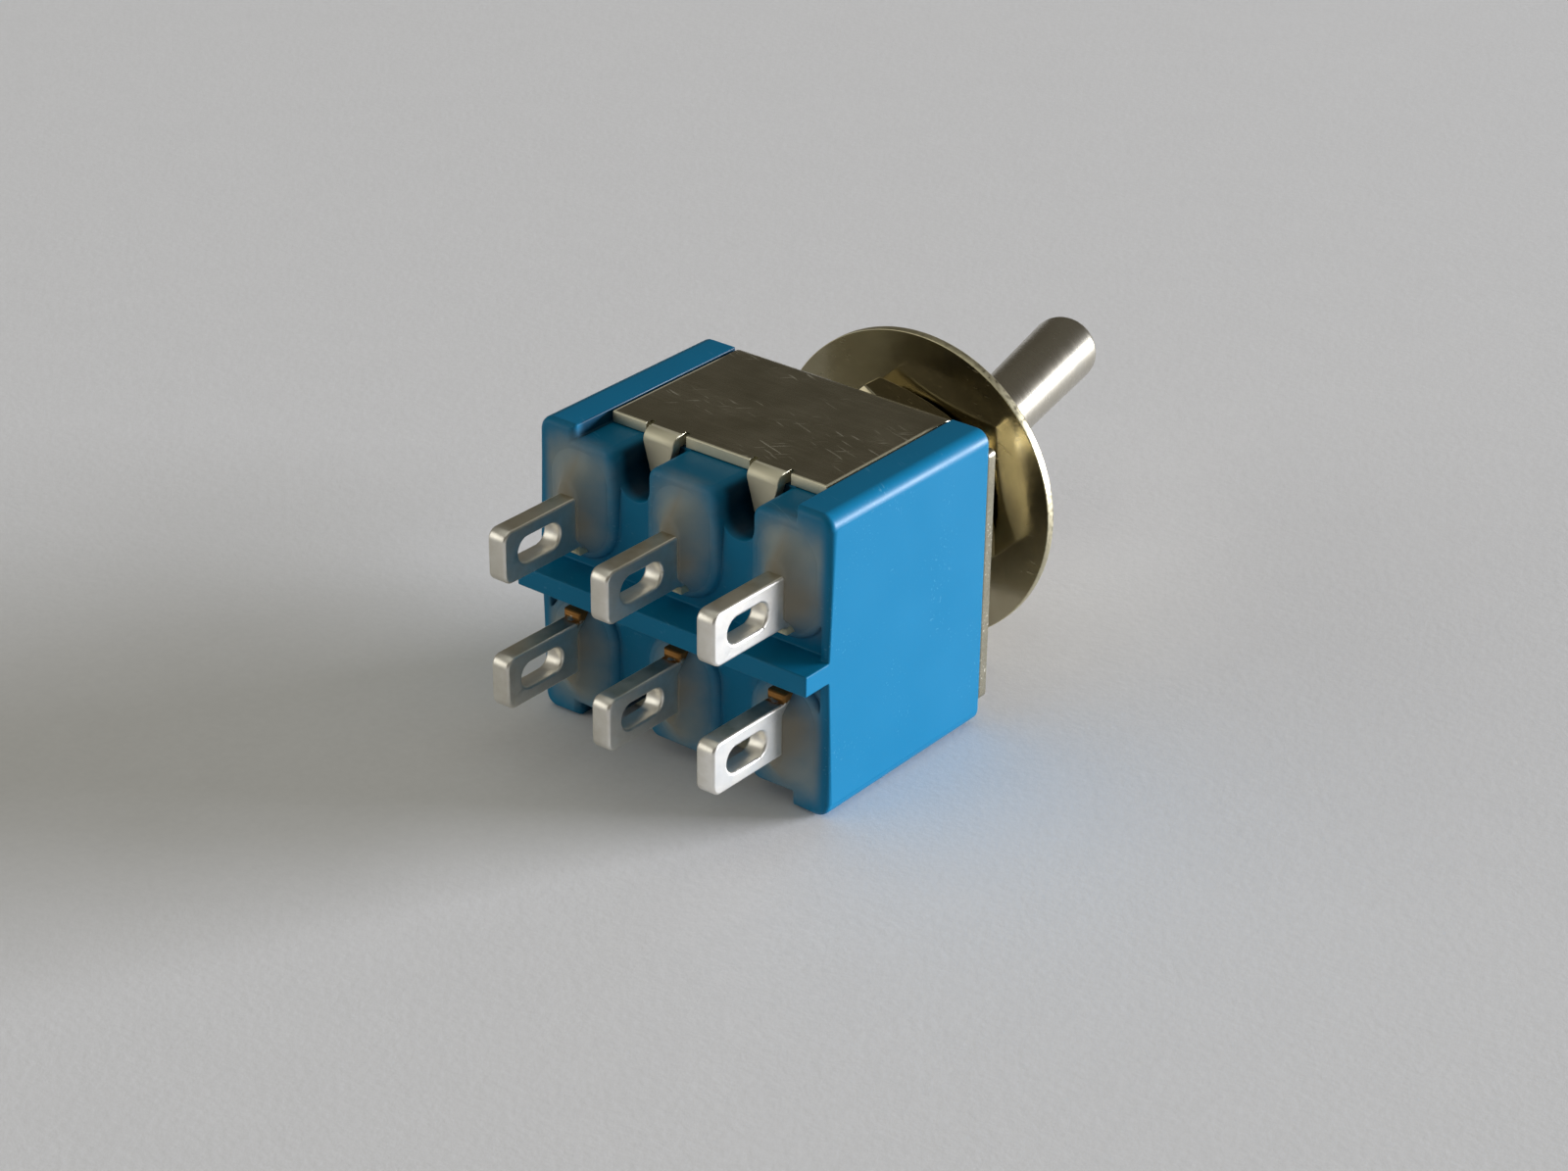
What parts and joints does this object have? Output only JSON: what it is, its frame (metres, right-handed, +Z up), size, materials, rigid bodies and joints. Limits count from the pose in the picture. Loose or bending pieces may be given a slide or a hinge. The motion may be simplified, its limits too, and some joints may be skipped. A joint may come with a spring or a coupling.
{
  "type": "mini toggle switch",
  "caption": "Panel toggle switch with a bat lever in a threaded bushing, a steel frame crimped round a blue case, and rows of solder lugs parted by a rib.",
  "frame": {"origin": "on the bushing's axis, at the panel seat: the outer face of the steel frame's top plate", "axes": "-Y along the bushing toward the lever, +Y toward the solder lugs, +X the way the lever is thrown, +Z up as the switch lies on its long steel side"},
  "size_m": [0.0132, 0.0331, 0.0124],
  "materials": {
    "case": "satin moulded, bright blue",
    "frame": "plain rolled sheet",
    "bushing": "nickel plated",
    "lever": "polished nickel plate",
    "plunger": "natural nylon",
    "spring": "drawn wire",
    "rocker": "bare",
    "terminal": "tinned",
    "contact": "silver faced",
    "seal": "cast resin, cloudy",
    "nut": "nickel plated",
    "washer": "bright nickel plate"
  },
  "bodies": {
    "housing": {"case": "case", "frame": "frame", "bushing": "bushing", "rear_nut": "nut", "front_nut": "nut", "flat_washer": "washer", "terminal_upper_left": "terminal", "seal_upper_left": "seal", "terminal_upper_mid": "terminal", "seal_upper_mid": "seal", "terminal_upper_right": "terminal", "seal_upper_right": "seal", "contact_upper_left": "contact", "contact_upper_right": "contact", "terminal_lower_left": "terminal", "seal_lower_left": "seal", "terminal_lower_mid": "terminal", "seal_lower_mid": "seal", "terminal_lower_right": "terminal", "seal_lower_right": "seal", "contact_lower_left": "contact", "contact_lower_right": "contact"},
    "lever": {"lever": "lever", "plunger_spring": "spring"},
    "plunger": {"plunger": "plunger"},
    "rocker_upper": {"rocker_upper": "rocker"},
    "rocker_lower": {"rocker_lower": "rocker"}
  },
  "joints": [
    {"name": "lever_throw", "type": "hinge", "parent": "housing", "child": "lever", "pos_m": [0, -0.0061, 0], "axis": [0, 0, 1], "range_deg": [-26, 0]},
    {"name": "plunger_slide", "type": "slide", "parent": "lever", "child": "plunger", "axis": [0.225, -0.9744, 0], "range_m": [0, 0.0003], "stiffness_N_per_m": 1500, "deforming": ["plunger_spring"]},
    {"name": "rocker_upper_tilt", "type": "hinge", "parent": "housing", "child": "rocker_upper", "pos_m": [0, 0.00394, 0.0025], "axis": [0, 0, 1], "range_deg": [0, 16]},
    {"name": "rocker_lower_tilt", "type": "hinge", "parent": "housing", "child": "rocker_lower", "pos_m": [0, 0.00394, -0.0025], "axis": [0, 0, 1], "range_deg": [0, 16]}
  ],
  "couplings": [
    {"joint": "rocker_upper_tilt", "follows": "lever_throw", "ratio": -0.61538},
    {"joint": "rocker_lower_tilt", "follows": "lever_throw", "ratio": -0.61538}
  ]
}
